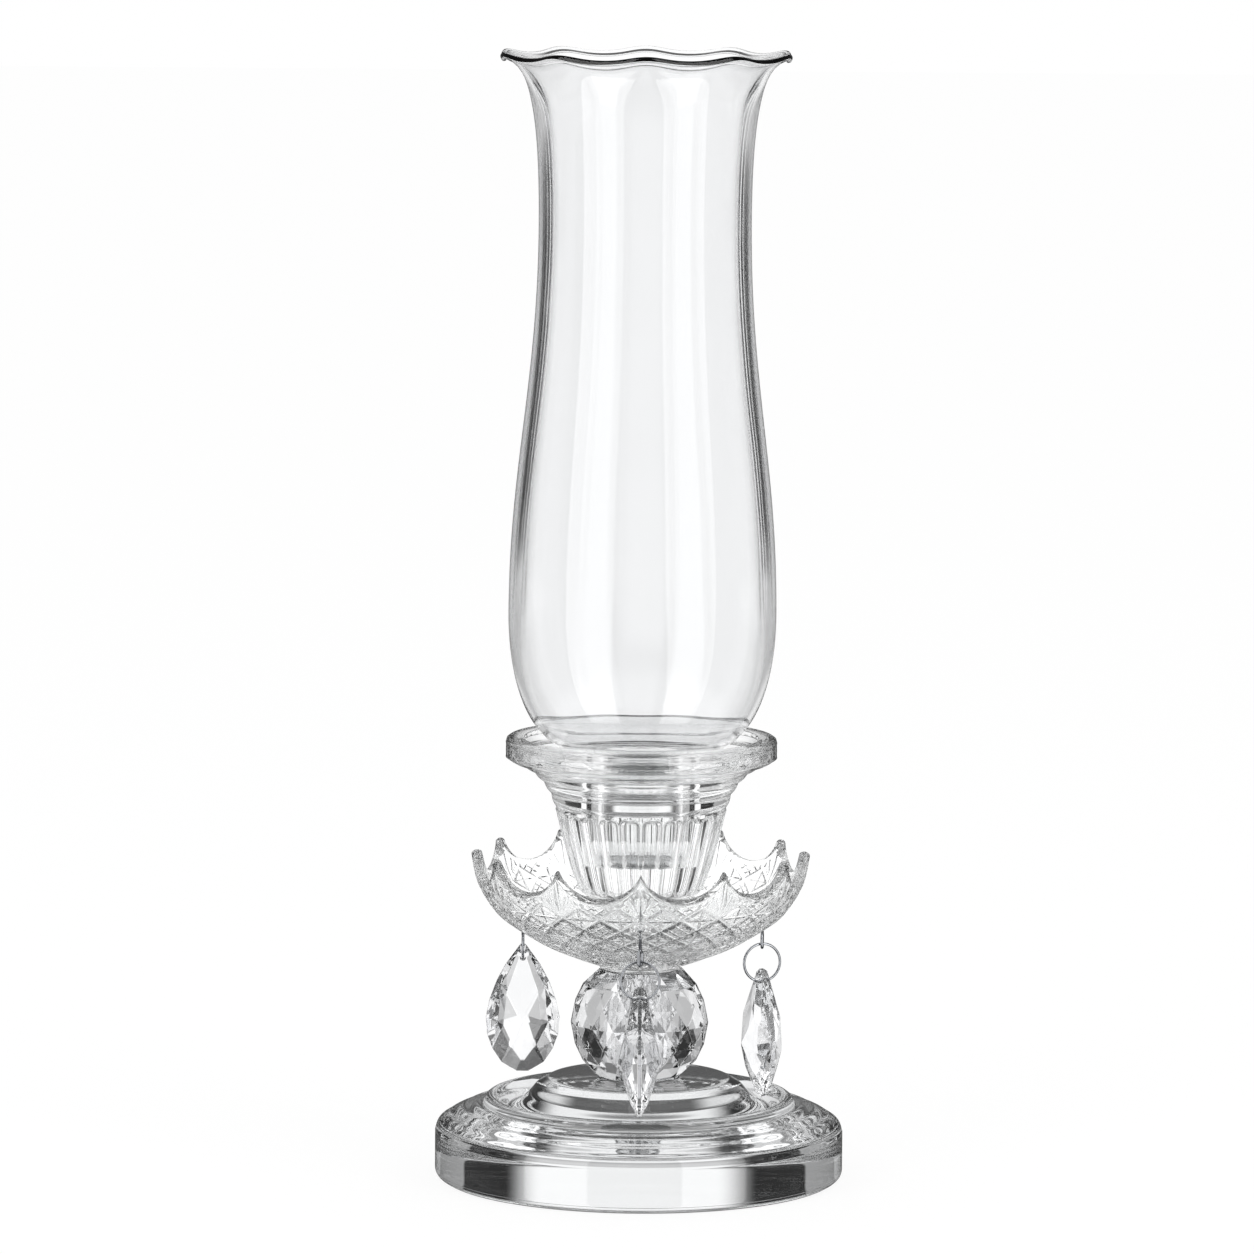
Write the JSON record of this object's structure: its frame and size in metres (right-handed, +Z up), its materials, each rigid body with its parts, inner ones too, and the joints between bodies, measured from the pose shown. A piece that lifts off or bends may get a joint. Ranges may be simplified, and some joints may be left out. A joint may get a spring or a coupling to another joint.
{
  "type": "hurricane candle holder",
  "caption": "Clear glass hurricane candle holder: stepped foot, faceted ball, scalloped bowl with hanging drops, fluted candle cup and tall flared shade.",
  "frame": {"origin": "centre of the foot's underside", "axes": "+Z up along the axis of the holder, the front with its edge-on drop faces -Y, +X to the right"},
  "size_m": [0.1204, 0.1204, 0.3326],
  "materials": {
    "foot_glass": "thick clear pressed glass, fire polished",
    "crystal": "clear faceted crystal with polished flats",
    "cut_glass": "clear pressed glass with cut pattern",
    "blown_glass": "thin clear blown glass with a fire-polished lip",
    "adhesive": "clear cured adhesive",
    "wire": "bright plated wire"
  },
  "bodies": {
    "stand": {"base": "foot_glass", "base_film": "adhesive", "ball": "crystal", "ball_film": "adhesive", "bowl": "cut_glass", "cup_film": "adhesive", "cup": "cut_glass"},
    "shade": {"shade": "blown_glass"},
    "front_eye": {"front_eye": "wire"},
    "front_ring": {"front_ring": "wire"},
    "front_drop": {"front_drop": "crystal"},
    "right_eye": {"right_eye": "wire"},
    "right_ring": {"right_ring": "wire"},
    "right_drop": {"right_drop": "crystal"},
    "back_eye": {"back_eye": "wire"},
    "back_ring": {"back_ring": "wire"},
    "back_drop": {"back_drop": "crystal"},
    "left_eye": {"left_eye": "wire"},
    "left_drop": {"left_drop": "crystal"}
  },
  "joints": [
    {"name": "shade_lift", "type": "slide", "parent": "stand", "child": "shade", "axis": [0, 0, 1], "range_m": [0, 0.08]},
    {"name": "front_swivel", "type": "hinge", "parent": "stand", "child": "front_eye", "pos_m": [0, -0.03919, 0.06903], "axis": [0, 0, 1], "range_deg": [-15, 15]},
    {"name": "front_ring_swing", "type": "hinge", "parent": "front_eye", "child": "front_ring", "pos_m": [0, -0.03919, 0.06903], "axis": [0, 1, 0], "range_deg": [-10, 10]},
    {"name": "front_drop_swing", "type": "hinge", "parent": "front_ring", "child": "front_drop", "pos_m": [0, -0.03919, 0.05896], "axis": [1, 0, 0], "range_deg": [-20, 1]},
    {"name": "right_swivel", "type": "hinge", "parent": "stand", "child": "right_eye", "pos_m": [0.03601, 0, 0.06833], "axis": [0, 0, 1], "range_deg": [-45, 5]},
    {"name": "right_ring_swing", "type": "hinge", "parent": "right_eye", "child": "right_ring", "pos_m": [0.03601, 0, 0.06833], "axis": [-0.3256, 0.9455, 0], "range_deg": [-12, 1.5]},
    {"name": "right_drop_swing", "type": "hinge", "parent": "right_ring", "child": "right_drop", "pos_m": [0.03601, 0, 0.05826], "axis": [0.9455, 0.3256, 0], "range_deg": [-4, 4]},
    {"name": "back_swivel", "type": "hinge", "parent": "stand", "child": "back_eye", "pos_m": [0, 0.03919, 0.06903], "axis": [0, 0, 1], "range_deg": [-15, 15]},
    {"name": "back_ring_swing", "type": "hinge", "parent": "back_eye", "child": "back_ring", "pos_m": [0, 0.03919, 0.06903], "axis": [0, 1, 0], "range_deg": [-10, 10]},
    {"name": "back_drop_swing", "type": "hinge", "parent": "back_ring", "child": "back_drop", "pos_m": [0, 0.03919, 0.05896], "axis": [1, 0, 0], "range_deg": [-1, 20]},
    {"name": "left_swivel", "type": "hinge", "parent": "stand", "child": "left_eye", "pos_m": [-0.03451, 0, 0.06493], "axis": [0, 0, 1], "continuous": true},
    {"name": "left_drop_swing", "type": "hinge", "parent": "left_eye", "child": "left_drop", "pos_m": [-0.03451, 0, 0.06493], "axis": [0, 1, 0], "range_deg": [-8, 8]}
  ]
}
